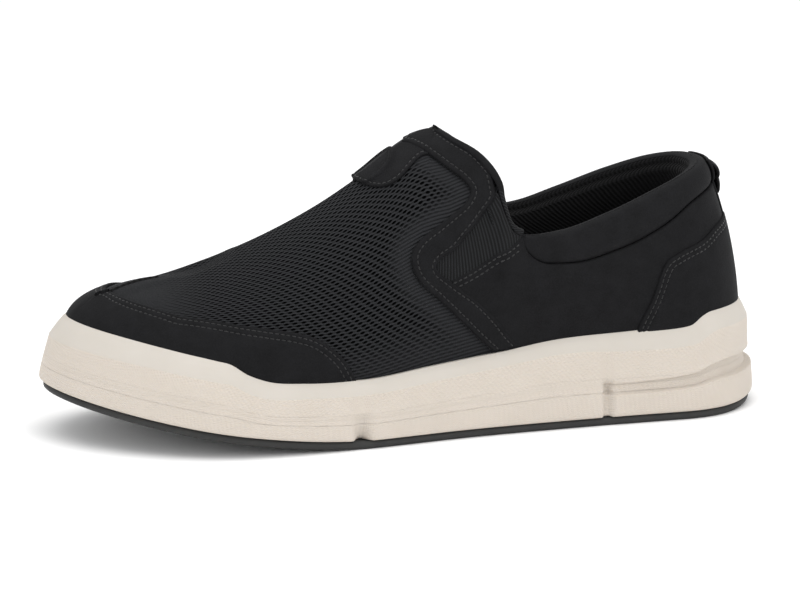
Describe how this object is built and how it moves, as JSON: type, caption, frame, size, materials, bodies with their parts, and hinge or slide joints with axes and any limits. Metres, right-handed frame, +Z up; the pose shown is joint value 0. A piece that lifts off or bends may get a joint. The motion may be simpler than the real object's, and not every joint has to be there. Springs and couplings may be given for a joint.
{
  "type": "slip-on sneaker",
  "caption": "Black knit slip-on sneaker with nubuck overlays, elastic gores, padded collar and a cream cup midsole on a black outsole.",
  "frame": {"origin": "middle of the underside of the shoe's box, on the floor", "axes": "+X to the toe, +Y to the outer (lateral) side of the left shoe, +Z up"},
  "size_m": [0.3, 0.1066, 0.1194],
  "materials": {
    "outsole_rubber": "matte moulded black rubber",
    "midsole_foam": "matte cream moulded EVA foam with a fine diagonal texture and a smooth bevel",
    "knit": "black engineered knit with lengthwise ribs and open holes",
    "nubuck": "black napped nubuck",
    "elastic": "black ribbed elastic",
    "lining": "black ribbed textile lining"
  },
  "bodies": {
    "root": {"outsole": "outsole_rubber", "midsole": "midsole_foam", "insole": "lining", "upper": "knit", "collar_lining": "lining", "toe_guard": "nubuck", "throat_band": "nubuck", "throat_patch": "nubuck", "gore_lateral": "elastic", "gore_medial": "elastic", "quarter_lateral": "nubuck", "quarter_medial": "nubuck", "heel_counter": "nubuck", "heel_strip": "nubuck", "pull_loop": "elastic"}
  },
  "joints": []
}
